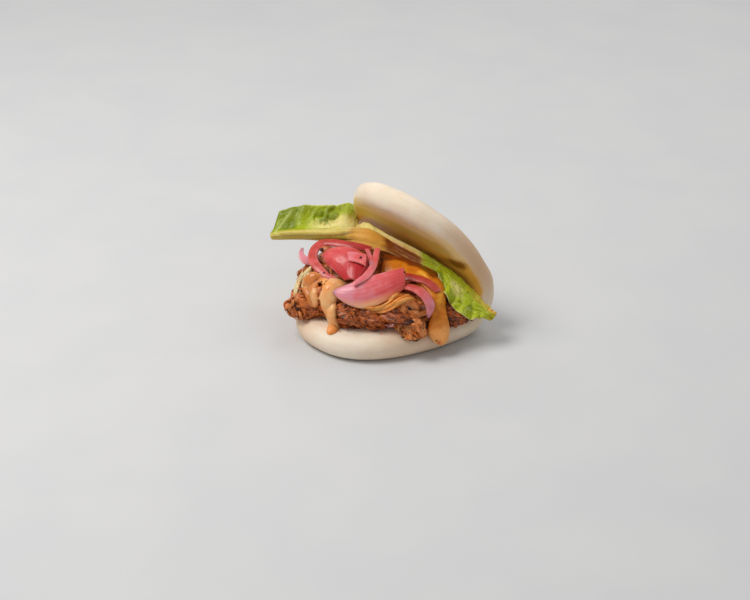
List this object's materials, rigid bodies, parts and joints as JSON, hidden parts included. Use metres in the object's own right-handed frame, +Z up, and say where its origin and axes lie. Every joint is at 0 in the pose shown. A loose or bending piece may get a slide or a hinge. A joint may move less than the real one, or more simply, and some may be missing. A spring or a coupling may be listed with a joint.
{
  "type": "gua bao",
  "caption": "Folded steamed bun filled with pulled meat, melted cheese, spiced sauce, pickled red onion slices and a lettuce leaf.",
  "frame": {"origin": "on the surface it rests on, under the middle of the whole", "axes": "+X along the fold of the bun, -Y out of the open mouth, +Z up"},
  "size_m": [0.114, 0.082, 0.0692],
  "materials": {
    "steamed_dough": "soft satin skin, a little translucent",
    "lettuce_leaf": "moist thin leaf, paler along the rib",
    "pickled_onion": "wet, translucent, fine lengthwise lines",
    "melted_cheese": "melted, smooth and oily",
    "spiced_sauce": "thick and glossy",
    "pulled_meat": "browned, stringy, moist"
  },
  "bodies": {
    "root": {"bun": "steamed_dough", "lettuce": "lettuce_leaf", "onion_front": "pickled_onion", "onion_round": "pickled_onion", "onion_ring": "pickled_onion", "onion_hook": "pickled_onion", "onion_chip": "pickled_onion", "onion_strip": "pickled_onion", "onion_back": "pickled_onion", "onion_hang": "pickled_onion", "cheese": "melted_cheese", "sauce": "spiced_sauce", "pulled_pork": "pulled_meat"}
  },
  "joints": []
}
